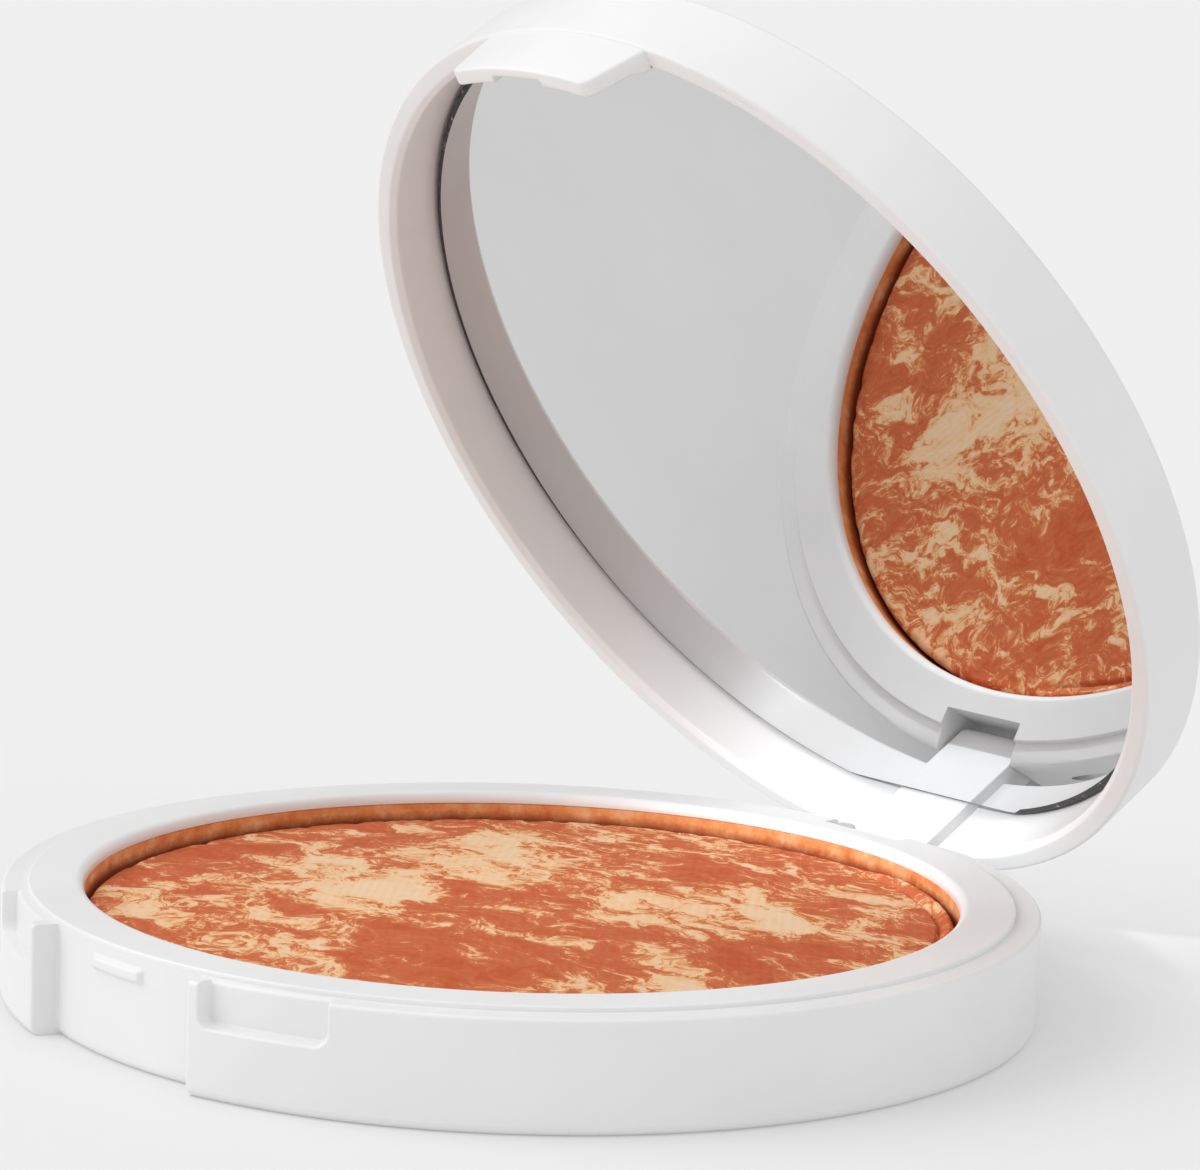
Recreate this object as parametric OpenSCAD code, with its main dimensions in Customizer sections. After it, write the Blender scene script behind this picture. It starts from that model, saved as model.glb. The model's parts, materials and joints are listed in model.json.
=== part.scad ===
// Round powder compact with a hinged mirror lid.
// Origin: centre of the base's underside. +Z up, latch towards -Y, hinge towards +Y.

/* [Lid] */
// Angle between the lid and the closed position, in degrees
lid_open = 59; // [0:1:120]
// Radius of the lid's outer wall
lid_r = 40.3; // [40.2:0.1:40.5]
// Radius of the lid's inner wall
lid_in_r = 38.4; // [38.4:0.1:38.6]
// Height of the lid's edge above its rim
lid_h = 6.95; // [6.9:0.05:8]
// Rise of the lid's outer face from its edge to its centre
lid_crown = 0.3; // [0.1:0.1:0.6]
// Gap between the closed lid's rim and the base
rim_gap = 0.1; // [0.08:0.02:0.2]

/* [Base] */
// Outer radius of the base
base_r = 40.2; // [40:0.1:40.3]
// Height of the ledge that the lid closes on
base_h = 8.46; // [8.4:0.02:8.6]
// Thickness of the base's floor
floor_t = 1.6; // [1.2:0.1:1.8]
// Radius of the space inside the base
cavity_r = 37; // [36.8:0.1:37.2]
// Depth of the recess in the base's underside
foot_rise = 0.4; // [0.3:0.1:0.6]

/* [Powder] */
// Inner radius of the bezel round the powder
well_r = 33.9; // [33:0.1:34.2]
// Height of the bezel's top above the ledge
bezel_rise = 0.4; // [0.2:0.1:0.5]
// Height of the powder's centre above the rest plane
cake_top = 7.6; // [7:0.1:8.4]
// Rise of the powder from its edge to its centre
cake_crown = 1.2; // [0.6:0.1:1.6]

/* [Mirror] */
// Radius of the mirror
mirror_r = 38.1; // [37.8:0.1:38.2]
// Thickness of the mirror glass
mirror_t = 1; // [0.8:0.1:1]
// Depth of the mirror's face inside the rim
mirror_depth = 4.9; // [4.5:0.1:4.9]
// Distance from the centre to the mirror's straight edge
mirror_flat_y = 36.9; // [36.5:0.1:37]

/* [Hinge] */
// Distance of the hinge pin behind the centre
pin_y = 38.59; // [38.5:0.01:38.7]
// Height of the hinge pin above the rest plane
pin_z = 5.45; // [5.4:0.01:5.5]
// Radius of the hinge pin
pin_r = 0.6; // [0.5:0.05:0.65]
// Half the length of the hinge pin
pin_half = 8; // [7:0.5:8.5]
// Half the width of the lid's hinge lug
lug_half = 4; // [3.5:0.1:4.1]

/* [Latch] */
// Half the angle of the latch recess, in degrees
recess_half = 13.9; // [13.6:0.1:14.6]
// Radius of the latch recess's back wall
recess_r = 38.2; // [38.1:0.05:38.2]
// Length of the latch tab below the lid's rim
tab_l = 5.4; // [5:0.1:5.6]
// Half the width of the latch tab at the rim
tab_root_half = 9.06; // [8.5:0.02:9.2]
// Half the width of the latch tab at its tip
tab_tip_half = 7.8; // [7.2:0.1:8]

/* [Hidden] */
$fn = 180;
cut = 1;                 // how far a cutting shape runs past a face

// base
foot_round = 0.8;        // round along the base's lower edge
lip_round = 0.35;        // round along the ledge's outer edge
foot_in_r = 36;          // inner radius of the ring that the base stands on
ridge_half = 4.8;        // half the catch ridge's angle
ridge_out = 0.4;         // how far the catch ridge stands out
ridge_low = 6.45;
ridge_high = 7.75;
pocket_from = 15.6;      // angles of a nail pocket's ends
pocket_to = 30.4;
pocket_low = 5.3;
pocket_r = 39;           // radius of a nail pocket's back wall
pocket_round = 1;

// hinge
knuckle_r = 1.49;
knuckle_clear = 0.05;    // running clearance between pin and knuckle
notch_half = lug_half + 0.3;
notch_y = 36.35;         // the hinge notch's inner wall
notch_low = 2.4;
block_half = pin_half + 1;
block_y = 35.25;         // inner face of the block that carries the pin
relief_r = 3;            // round behind the pin that the lid's rim swings over
relief_half = 13;

// bezel and pan
bezel_lip_z = base_h - 0.56;
bezel_lip_r = 35.2;
bezel_round = 0.75;
bezel_edge = 0.12;       // chamfer along the bezel's outer edge
skirt_t = 0.9;
skirt_low = 3;
skirt_clear = 0.05;
pan_wall = 0.9;
pan_floor = 0.8;
pan_in_r = well_r + 0.05;
pan_adhesive_t = 0.3;
pan_adhesive_r = 30;
pan_z = floor_t + pan_adhesive_t;
cake_z = pan_z + pan_floor;
cake_r = pan_in_r - 0.25;
shoulder_r = 0.8;        // round along the powder's edge
dome_r = (pow(cake_r, 2) + pow(cake_crown, 2)) / (2 * cake_crown);
shoulder_x = cake_r - shoulder_r;
shoulder_z = cake_top - dome_r + sqrt(pow(dome_r, 2) - pow(shoulder_x, 2)) - shoulder_r;

// label
label_r = 27;
label_t = 0.12;

// lid, in its closed position
rim_z = base_h + rim_gap;
rim_round = 0.3;         // round along the rim's outer edge
rim_chamfer = 0.45;      // chamfer along the rim's inner edge
back_round = 0.8;        // round along the lid's outer back edge
mirror_z = rim_z + mirror_depth;
tape_t = 0.15;
tape_r = 36;
tape_flat_y = 35;
lid_floor_z = mirror_z + mirror_t + tape_t;
crown_steps = 16;
tab_z = rim_z - tab_l;
tab_in_r = 38.8;
tab_out_r = 40.15;
tab_round = 1;           // round at the tab's tip corners
tab_thin_half = 4.1;     // half the angle of the thin middle of the tab
tab_thin_r = 39.3;
marks = [[23.7, 29.3], [66.8, 70.2]];  // angles of the fine grooves in the rim
mark_r = 39.42;
mark_w = 0.2;
mark_d = 0.15;

// A wedge round the vertical axis between two angles, counted from -Y towards +X
module wedge(from, to, low, high) {
    reach = 60;
    translate([0, 0, low])
        linear_extrude(high - low)
            polygon([
                [0, 0],
                [reach * sin(from), -reach * cos(from)],
                [reach * sin(to), -reach * cos(to)]
            ]);
}

// Half of a body's outline whose two outer corners are round
module round_outline(r, low, high, round_low, round_high) {
    translate([0, low]) square([r - round_low, (high - low) / 2]);
    translate([0, (high + low) / 2]) square([r - round_high, (high - low) / 2]);
    translate([0, low + round_low]) square([r, high - low - round_low - round_high]);
    translate([r - round_low, low + round_low]) circle(round_low, $fn = 64);
    translate([r - round_high, high - round_high]) circle(round_high, $fn = 64);
}

// A cylinder that lies along X on the hinge axis
module on_pin_axis(r, half) {
    translate([-half, pin_y, pin_z]) rotate([0, 90, 0]) cylinder(r = r, h = 2 * half);
}

// The room that the lid's lug turns in
module hinge_notch() {
    translate([-notch_half, notch_y, notch_low])
        cube([2 * notch_half, base_r, base_h + cut]);
}

// One nail pocket beside the latch recess, open at the top
module nail_pocket() {
    turn = pocket_round / base_r * 180 / PI;
    difference() {
        union() {
            wedge(pocket_from, pocket_to, pocket_low + pocket_round, base_h + cut);
            wedge(pocket_from + turn, pocket_to - turn, pocket_low, base_h + cut);
            for (a = [pocket_from + turn, pocket_to - turn])
                rotate([0, 0, a])
                    translate([0, 0, pocket_low + pocket_round])
                        rotate([90, 0, 0]) cylinder(r = pocket_round, h = base_r + cut, $fn = 48);
        }
        cylinder(r = pocket_r, h = base_h + 2 * cut);
    }
}

// The low ridge that the latch tab snaps over
module catch_ridge() {
    root_r = recess_r - 0.3;
    intersection() {
        rotate_extrude()
            polygon([
                [root_r, ridge_low - 0.1], [recess_r, ridge_low],
                [recess_r + ridge_out, ridge_low + 0.4], [recess_r + ridge_out, ridge_high - 0.4],
                [recess_r, ridge_high], [root_r, ridge_high + 0.1]
            ]);
        wedge(-ridge_half, ridge_half, ridge_low - cut, ridge_high + cut);
    }
}

module base_shell() color("white") difference() {
    union() {
        difference() {
            rotate_extrude() round_outline(base_r, 0, base_h, foot_round, lip_round);
            translate([0, 0, floor_t]) cylinder(r = cavity_r, h = base_h);
            translate([0, 0, -cut]) cylinder(r = foot_in_r, h = foot_rise + cut);
            difference() {
                wedge(-recess_half, recess_half, -cut, base_h + cut);
                translate([0, 0, -2 * cut]) cylinder(r = recess_r, h = base_h + 4 * cut);
            }
            nail_pocket();
            mirror([1, 0, 0]) nail_pocket();
        }
        catch_ridge();
        intersection() {
            translate([-block_half, block_y, floor_t - 0.2])
                cube([2 * block_half, base_r - block_y, base_h - floor_t + 0.2]);
            cylinder(r = cavity_r + 0.5, h = base_h);
        }
    }
    hinge_notch();
    // the pin goes in from the side
    translate([-pin_half, pin_y, pin_z]) rotate([0, 90, 0]) cylinder(r = pin_r, h = base_r);
    // rounded rear edge that the lid's rim swings over
    difference() {
        translate([-relief_half, pin_y, pin_z]) cube([2 * relief_half, base_r, base_h]);
        on_pin_axis(relief_r, relief_half + cut);
    }
}

module powder_bezel() color("white") difference() {
    top_z = base_h + bezel_rise;
    union() {
        rotate_extrude() difference() {
            union() {
                polygon([
                    [well_r, bezel_lip_z], [bezel_lip_r, bezel_lip_z], [bezel_lip_r, base_h],
                    [recess_r, base_h], [recess_r, top_z - bezel_edge], [recess_r - bezel_edge, top_z],
                    [well_r + bezel_round, top_z], [well_r + bezel_round, top_z - bezel_round],
                    [well_r, top_z - bezel_round]
                ]);
                translate([well_r + bezel_round, top_z - bezel_round]) circle(bezel_round, $fn = 64);
            }
            translate([bezel_lip_r, 0]) square([base_r, base_h]);
            square([base_r, bezel_lip_z]);
        }
        difference() {
            rotate_extrude()
                translate([cavity_r - skirt_clear - skirt_t, skirt_low])
                    square([skirt_t, base_h - skirt_low]);
            translate([-block_half - 0.2, 0, 0]) cube([2 * block_half + 0.4, base_r, base_h]);
        }
    }
    hinge_notch();
}

module powder_pan() color("#d9793c") difference() {
    translate([0, 0, pan_z]) cylinder(r = pan_in_r + pan_wall, h = bezel_lip_z - pan_z);
    translate([0, 0, cake_z]) cylinder(r = pan_in_r, h = base_h);
}

module powder_cake() color("#c96b45") rotate_extrude() intersection() {
    union() {
        translate([0, cake_z]) square([shoulder_x, cake_top]);
        translate([0, cake_z]) square([cake_r, shoulder_z - cake_z]);
        translate([shoulder_x, shoulder_z]) circle(shoulder_r, $fn = 64);
    }
    translate([0, cake_top - dome_r]) circle(dome_r, $fn = 1440);
}

module pan_adhesive() color("#e8e4d8")
    translate([0, 0, floor_t]) cylinder(r = pan_adhesive_r, h = pan_adhesive_t);

module hinge_pin() color("silver") {
    chamfer = 0.15;
    on_pin_axis(pin_r, pin_half - chamfer);
    for (side = [-1, 1])
        translate([side * (pin_half - chamfer), pin_y, pin_z])
            rotate([0, side * 90, 0]) cylinder(r1 = pin_r, r2 = pin_r - chamfer, h = chamfer);
}

module underside_label() color("#f4f4f2")
    translate([0, 0, foot_rise - label_t]) cylinder(r = label_r, h = label_t);

// Turns the closed lid's parts open about the hinge pin
module opened()
    translate([0, pin_y, pin_z]) rotate([-lid_open, 0, 0]) translate([0, -pin_y, -pin_z]) children();

// A full disc whose hinge side is cut straight
module flat_cut_disc(r, flat_y, low, high) difference() {
    translate([0, 0, low]) cylinder(r = r, h = high - low);
    translate([-r, flat_y, low - cut]) cube([2 * r, r, high - low + 2 * cut]);
}

// Half outline of the lid's cup, from the rim to the crowned back
module lid_outline() difference() {
    union() {
        round_outline(lid_r, rim_z, rim_z + lid_h, rim_round, back_round);
        polygon([
            [0, rim_z + lid_h / 2],
            [lid_r - back_round, rim_z + lid_h / 2],
            for (i = [0:crown_steps])
                let (x = (lid_r - back_round) * (1 - i / crown_steps))
                [x, rim_z + lid_h + lid_crown * (1 - pow(x / (lid_r - back_round), 2))]
        ]);
    }
    square([lid_in_r, lid_floor_z]);
    polygon([
        [lid_in_r - cut, rim_z - cut], [lid_in_r + rim_chamfer + cut, rim_z - cut],
        [lid_in_r + rim_chamfer, rim_z], [lid_in_r, rim_z + rim_chamfer],
        [lid_in_r - cut, rim_z + rim_chamfer]
    ]);
}

// Points along an arc between two angles
function arc(centre, r, from, to, steps = 8) = [
    for (i = [0:steps])
        let (a = from + (to - from) * i / steps)
        centre + r * [cos(a), sin(a)]
];

// Front view of the latch tab: its sides lean in and its tip corners are round
module tab_outline() {
    lean = atan((tab_root_half - tab_tip_half) / tab_l);
    round_x = tab_tip_half + tab_round * tan(lean) - tab_round / cos(lean);
    round_z = tab_z + tab_round;
    polygon(concat(
        [[tab_root_half, rim_z], [tab_root_half, rim_z + cut]],
        [[-tab_root_half, rim_z + cut], [-tab_root_half, rim_z]],
        arc([-round_x, round_z], tab_round, 180 + lean, 270),
        arc([round_x, round_z], tab_round, 270, 360 - lean)
    ));
}

// The latch tab, part of the lid's front wall
module latch_tab() difference() {
    root_in_r = lid_in_r + 0.02;
    intersection() {
        rotate_extrude()
            polygon([
                [root_in_r, rim_z + 0.6], [root_in_r, rim_z - 0.5], [tab_in_r, rim_z - 1.6],
                [tab_in_r, tab_z + 0.5], [tab_in_r + 0.3, tab_z], [tab_out_r - 0.2, tab_z],
                [tab_out_r, tab_z + 0.2], [tab_out_r, rim_z + 0.6]
            ]);
        rotate([90, 0, 0]) linear_extrude(lid_r + cut) tab_outline();
    }
    intersection() {
        translate([0, 0, tab_z - cut]) cylinder(r = tab_thin_r, h = tab_l - 0.6 + cut);
        wedge(-tab_thin_half, tab_thin_half, tab_z - 2 * cut, rim_z);
    }
}

// The arm that reaches from the lid's floor down to the pin
module hinge_lug() {
    translate([-lug_half, pin_y - knuckle_r, pin_z])
        cube([2 * lug_half, 2 * knuckle_r - 0.1, rim_z + rim_chamfer - pin_z]);
    intersection() {
        translate([-lug_half, pin_y - knuckle_r, pin_z])
            cube([2 * lug_half, 2 * knuckle_r, lid_floor_z - pin_z + 0.2]);
        cylinder(r = lid_in_r + 0.6, h = lid_floor_z + cut);
    }
    on_pin_axis(knuckle_r, lug_half);
}

module lid_shell() color("white") opened() difference() {
    union() {
        rotate_extrude() lid_outline();
        latch_tab();
        hinge_lug();
    }
    on_pin_axis(pin_r + knuckle_clear, lug_half + cut);
    for (m = marks)
        intersection() {
            rotate_extrude()
                translate([mark_r, rim_z - cut]) square([mark_w, cut + mark_d]);
            wedge(m[0], m[1], rim_z - 2 * cut, rim_z + cut);
        }
}

module mirror_glass() color("#c8ccd0")
    opened() flat_cut_disc(mirror_r, mirror_flat_y, mirror_z, mirror_z + mirror_t);

module mirror_adhesive() color("#e8e4d8")
    opened() flat_cut_disc(tape_r, tape_flat_y, mirror_z + mirror_t, lid_floor_z);

base_shell();
powder_bezel();
powder_pan();
powder_cake();
pan_adhesive();
hinge_pin();
underside_label();
lid_shell();
mirror_glass();  // mirror
mirror_adhesive();
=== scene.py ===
"""Looks of a round powder compact with a mirror lid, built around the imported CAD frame."""

import json
import math

import bmesh
import bpy
import numpy as np
from mathutils import Matrix, Vector, noise


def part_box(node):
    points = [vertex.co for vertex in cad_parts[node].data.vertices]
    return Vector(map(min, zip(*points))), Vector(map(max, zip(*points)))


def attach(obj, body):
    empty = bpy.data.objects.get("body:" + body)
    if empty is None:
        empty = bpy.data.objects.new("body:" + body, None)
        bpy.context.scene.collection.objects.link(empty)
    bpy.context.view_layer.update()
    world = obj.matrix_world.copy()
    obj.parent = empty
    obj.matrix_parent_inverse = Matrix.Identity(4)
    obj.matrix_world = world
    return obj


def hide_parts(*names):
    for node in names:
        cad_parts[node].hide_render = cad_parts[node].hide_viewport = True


mm = 0.001

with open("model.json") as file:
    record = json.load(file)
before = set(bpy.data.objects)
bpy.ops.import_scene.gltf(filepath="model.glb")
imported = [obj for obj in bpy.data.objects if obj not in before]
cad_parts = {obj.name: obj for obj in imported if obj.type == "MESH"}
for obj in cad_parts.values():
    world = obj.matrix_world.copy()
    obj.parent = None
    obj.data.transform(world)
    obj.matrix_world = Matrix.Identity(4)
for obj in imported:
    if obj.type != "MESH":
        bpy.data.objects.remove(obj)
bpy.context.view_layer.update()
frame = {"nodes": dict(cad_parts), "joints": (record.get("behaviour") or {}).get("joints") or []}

# ---------------------------------------------------------------- sizes read from the frame

base_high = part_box("base_shell")[1]
bezel_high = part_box("powder_bezel")[1]
pan_low, pan_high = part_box("powder_pan")
cake_low, cake_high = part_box("powder_cake")
pin_low, pin_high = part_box("hinge_pin")
hinge = frame["joints"][0]
pin_y = hinge["pos_m"][1]
pin_z = hinge["pos_m"][2]
pin_r = (pin_high.z - pin_low.z) / 2
lid_open = math.radians(59)

base_r = base_high.x
base_h = base_high.z
lid_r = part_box("lid_shell")[1].x
mirror_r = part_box("mirror")[1].x
cake_r = cake_high.x
cake_top = cake_high.z
bezel_r = bezel_high.x
bezel_top = bezel_high.z
bezel_lip_z = pan_high.z
pan_r = pan_high.x
pan_wall = 0.9 * mm
pan_in_r = pan_r - pan_wall
well_r = pan_in_r - 0.05 * mm

# base details
floor_z = 1.6 * mm
foot_rise = 0.4 * mm
foot_in_r = 36 * mm
foot_round = 0.8 * mm
lip_round = 0.35 * mm
cavity_r = 37 * mm
recess_half = 13.9
recess_deep = 2 * mm
recess_step = (0.3 * mm, 0.12 * mm, 0.25 * mm)
ridge_half = 4.8
ridge_out = 0.4 * mm
ridge_mid_z = 7.1 * mm
pocket_from = 15.6
pocket_to = 30.4
pocket_low = 5.3 * mm
pocket_deep = 1.2 * mm
pocket_round = 1 * mm
pocket_step = (0.18 * mm, 0.14 * mm, 0.2 * mm)
relief_r = 3 * mm
notch_half = 4.3 * mm
notch_y = 36.35 * mm
notch_low = 2.4 * mm

# lid details, in the lid's closed position
rim_z = base_h + 0.1 * mm
lid_h = 6.95 * mm
lid_crown = 0.3 * mm
lid_in_r = 38.4 * mm
rim_chamfer = 0.45 * mm
rim_round = 0.3 * mm
rim_mark_r = 39.52 * mm
back_round = 0.8 * mm
mirror_z = rim_z + 4.9 * mm
mirror_t = 1 * mm
mirror_flat_y = 36.9 * mm
lid_floor_z = mirror_z + mirror_t + 0.15 * mm
tab_l = 5.4 * mm
tab_root_half = 9.06 * mm
tab_tip_half = 7.8 * mm
tab_out_r = 40.15 * mm
tab_in_r = 38.8 * mm
tab_thin_r = 39.3 * mm
lug_half = 4 * mm
knuckle_r = 1.49 * mm


# ---------------------------------------------------------------- mesh tools

def place(angle, r, z):
    """Point at an angle in degrees from the latch side (-Y) towards +X."""
    a = np.radians(angle)
    r, z, a = np.broadcast_arrays(r, z, a)
    return np.stack([r * np.sin(a), -r * np.cos(a), z], axis=-1)


def arc(steps):
    """Sine and cosine pairs of a quarter turn."""
    for i in range(steps + 1):
        turn = math.pi / 2 * i / steps
        yield math.sin(turn), math.cos(turn)


def step_depth(x, deep, outer, lean, inner):
    """Depth of a moulded step: a round outer corner, a leaning wall and a round inner corner."""
    x = np.asarray(x, float)
    top = np.clip(x, 0, outer)
    depth = outer - np.sqrt(np.maximum(outer**2 - top**2, 0))
    wall = np.clip((x - outer) / lean, 0, 1)
    depth = depth + wall * (deep - outer - inner)
    low = np.clip(x - outer - lean, 0, inner)
    return depth + np.sqrt(np.maximum(inner**2 - (inner - low) ** 2, 0))


def half_step(step):
    """Distance from the start of a moulded step to the middle of its wall."""
    outer, lean = step[:2]
    return outer + lean / 2


def step_places(outer, lean, inner, steps=5):
    """Where a moulded step needs rows so that its corners come out round."""
    found = [outer * s for s, c in arc(steps)]
    found += [outer + lean + inner * (1 - c) for s, c in arc(steps)]
    return found


def spread(*groups, gap=0.02):
    """All the values in order, without those that nearly repeat."""
    kept = []
    for value in sorted(v for group in groups for v in group):
        if not kept or value - kept[-1] > gap:
            kept.append(value)
    return np.array(kept)


def mesh_object(name, points, faces):
    """A new object in the scene, with doubled points joined and its faces turned outwards."""
    mesh = bpy.data.meshes.new(name)
    mesh.from_pydata([tuple(p) for p in points], [], faces)
    found = bpy.data.objects.new(name, mesh)
    bpy.context.scene.collection.objects.link(found)
    tidy_mesh(mesh)
    return found


def tidy_mesh(mesh):
    """Joins doubled points, as on the axis of a lathed piece, and turns the faces outwards."""
    bm = bmesh.new()
    bm.from_mesh(mesh)
    bmesh.ops.remove_doubles(bm, verts=bm.verts, dist=0.0005 * mm)
    bmesh.ops.recalc_face_normals(bm, faces=bm.faces)
    bm.to_mesh(mesh)
    bm.free()


def grid_object(name, grid, round_columns=True, round_rows=False):
    """A surface through a grid of points: one column of rows for each angle."""
    columns, rows = grid.shape[:2]
    faces = []
    for i in range(columns if round_columns else columns - 1):
        j = (i + 1) % columns
        for k in range(rows if round_rows else rows - 1):
            n = (k + 1) % rows
            faces.append((i * rows + k, j * rows + k, j * rows + n, i * rows + n))
    return mesh_object(name, grid.reshape(-1, 3), faces)


def lathe(name, angles, rows, round_rows=False):
    """Turns rows of (radius, height), each a number or one value per angle, about the Z axis."""
    grid = np.stack([place(angles, r, z) for r, z in rows], axis=1)
    return grid_object(name, grid, True, round_rows)


def box_tool(low, high):
    """A box between two corners, for cutting."""
    points = [(x, y, z) for x in (low[0], high[0]) for y in (low[1], high[1]) for z in (low[2], high[2])]
    faces = [(0, 1, 3, 2), (4, 6, 7, 5), (0, 4, 5, 1), (2, 3, 7, 6), (0, 2, 6, 4), (1, 5, 7, 3)]
    return mesh_object("tool", points, faces)


def notch_tool():
    """The gap at the back of the base that the lid's lug swings in."""
    return box_tool((-notch_half, notch_y, notch_low), (notch_half, 50 * mm, 20 * mm))


def rod_tool(r, start, end, steps=48):
    """A rod along X on the hinge axis."""
    turns = [2 * math.pi * i / steps for i in range(steps)]
    ring = [(math.cos(turn), math.sin(turn)) for turn in turns]
    points = [(x, pin_y + r * c, pin_z + r * s) for x in (start, end) for c, s in ring]
    faces = [(i, (i + 1) % steps, steps + (i + 1) % steps, steps + i) for i in range(steps)]
    faces += [tuple(range(steps)), tuple(range(2 * steps - 1, steps - 1, -1))]
    return mesh_object("tool", points, faces)


def combine(piece, tool, how):
    """Boolean of two pieces, applied to the first; the second is used up."""
    step = piece.modifiers.new("combine", "BOOLEAN")
    step.operation = how
    step.solver = "EXACT"
    step.object = tool
    bpy.context.view_layer.update()
    depsgraph = bpy.context.evaluated_depsgraph_get()
    made = bpy.data.meshes.new_from_object(piece.evaluated_get(depsgraph))
    piece.modifiers.clear()
    piece.data = made
    bpy.data.objects.remove(tool)


def soften(piece, sharp=38):
    """Smooth shading that keeps real corners crisp."""
    piece.data.shade_smooth()
    piece.data.set_sharp_from_angle(angle=math.radians(sharp))
    weighted = piece.modifiers.new("normals", "WEIGHTED_NORMAL")
    weighted.keep_sharp = True
    weighted.weight = 60


def swing_open(piece):
    """Turns a piece built on the closed lid to the lid's rest angle."""
    pivot = Vector((0, pin_y, pin_z))
    turn = Matrix.Translation(pivot) @ Matrix.Rotation(-lid_open, 4, "X") @ Matrix.Translation(-pivot)
    piece.data.transform(turn)


# ---------------------------------------------------------------- base

def to_angle(length):
    """Angle in degrees that a length takes up on the base's outer wall."""
    return math.degrees(length / base_r)


def recess_depth(angle):
    """How far the latch recess goes in at an angle."""
    side = np.radians(recess_half - np.abs(angle)) * base_r
    return step_depth(side + half_step(recess_step), recess_deep, *recess_step)


def pocket_depth(angle, z):
    """How far a nail pocket, open at the top and round at its lower corners, goes in."""
    middle = (pocket_from + pocket_to) / 2
    half = np.radians((pocket_to - pocket_from) / 2) * base_r
    across = np.abs(np.radians(np.abs(angle) - middle)) * base_r - (half - pocket_round)
    down = pocket_low + pocket_round - z + 0 * across
    beyond = np.hypot(np.maximum(across, 0), np.maximum(down, 0))
    edge = beyond + np.minimum(np.maximum(across, down), 0) - pocket_round
    return step_depth(half_step(pocket_step) - edge, pocket_deep, *pocket_step)


def ridge_height(angle, z):
    """How far the catch ridge stands out, rounded off at its ends and along its top and bottom."""
    along = np.clip((ridge_half - np.abs(angle)) / 0.5, 0, 1)
    up = np.clip((0.65 * mm - abs(z - ridge_mid_z)) / (0.4 * mm), 0, 1)
    return ridge_out * along * up * up * (3 - 2 * up)


def base_wall(angle, z):
    """Radius of the base's outside at an angle and height."""
    near = (angle + 180) % 360 - 180
    r = base_r - recess_depth(near) - pocket_depth(near, z) + ridge_height(near, z)
    rise = z - pin_z
    if rise > 0:
        swing_y = pin_y + math.sqrt(max(relief_r**2 - rise**2, 0))
        behind = -np.cos(np.radians(near))
        limit = np.where(behind > 0.9, swing_y / np.maximum(behind, 0.9), base_r)
        r = np.minimum(r, limit)
    return r


def base_angles():
    """Even columns round the base, with more of them where a step, corner or ridge end needs them."""
    even = np.arange(-180, 180, 1.5)
    recess = [recess_half + to_angle(half_step(recess_step) - x) for x in step_places(*recess_step)]
    sides = [to_angle(half_step(pocket_step) - x) for x in step_places(*pocket_step, 4)]
    corner = [to_angle(x * mm) for x in np.arange(-0.3, 1.3, 0.08)]
    pocket = [pocket_from - x for x in sides] + [pocket_to + x for x in sides]
    pocket += [pocket_from + x for x in corner] + [pocket_to - x for x in corner]
    ridge = [ridge_half - x for x in (0, 0.12, 0.25, 0.38, 0.5)]
    right = [*recess, *pocket, *ridge]
    left = [-x for x in right]
    return spread(even, right, left)


def make_base():
    """The lower moulding: foot, outer wall with its latch details, flat edge, cavity and hinge cuts."""
    angles = base_angles()
    rows = [(0, foot_rise)]
    rows += [(r * mm, foot_rise) for r in (8, 16, 24, 30, 34, 35.7)]
    rows += [(foot_in_r - 0.15 * mm * (1 - s), foot_rise - 0.15 * mm * (1 - c)) for s, c in arc(4)]
    rows += [(foot_in_r + 0.12 * mm * (1 - c), 0.12 * mm * (1 - s)) for s, c in arc(4)]
    foot = base_wall(angles, foot_round)
    rows += [(foot - foot_round * (1 - s), foot_round * (1 - c)) for s, c in arc(8)]
    floor_edge = [pocket_low - half_step(pocket_step) + x for x in step_places(*pocket_step, 4)]
    even = [z * mm for z in (1.2, 2, 3, 4, 4.6)]
    fine = list(np.arange(4.9 * mm, base_h - lip_round - 0.03 * mm, 0.1 * mm))
    heights = spread(even, fine, floor_edge, gap=0.018 * mm)
    rows += [(base_wall(angles, z), z) for z in heights]
    near = (angles + 180) % 360 - 180
    lip = lip_round * (1 - 0.85 * recess_depth(near) / recess_deep)
    for s, c in arc(8):
        z = base_h - lip * (1 - s)
        rows.append((base_wall(angles, base_h - lip_round * (1 - s)) - lip * (1 - c), z))
    edge = base_wall(angles, base_h) - lip
    behind = -np.cos(np.radians(angles))
    near_pin = np.abs(np.sin(np.radians(angles))) < 0.25
    inside = np.where(near_pin, 35.25 * mm / np.maximum(behind, 0.9), cavity_r)
    inside = np.where(behind > 0, np.minimum(inside, cavity_r), cavity_r)
    rows += [(edge + (inside - edge) * t, base_h) for t in (0.2, 0.5, 1)]
    rows += [(inside, z * mm) for z in (7, 4, 1.9)]
    rows += [(inside - 0.3 * mm, floor_z), (25 * mm, floor_z), (12 * mm, floor_z), (0, floor_z)]
    base = lathe("base_moulding", angles, rows)
    combine(base, notch_tool(), "DIFFERENCE")
    # the open end of the pin's bore, from the pin's last millimetre out through the wall
    combine(base, rod_tool(pin_r, 7 * mm, 30 * mm), "DIFFERENCE")
    soften(base)
    return base


# ---------------------------------------------------------------- bezel and pan

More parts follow.
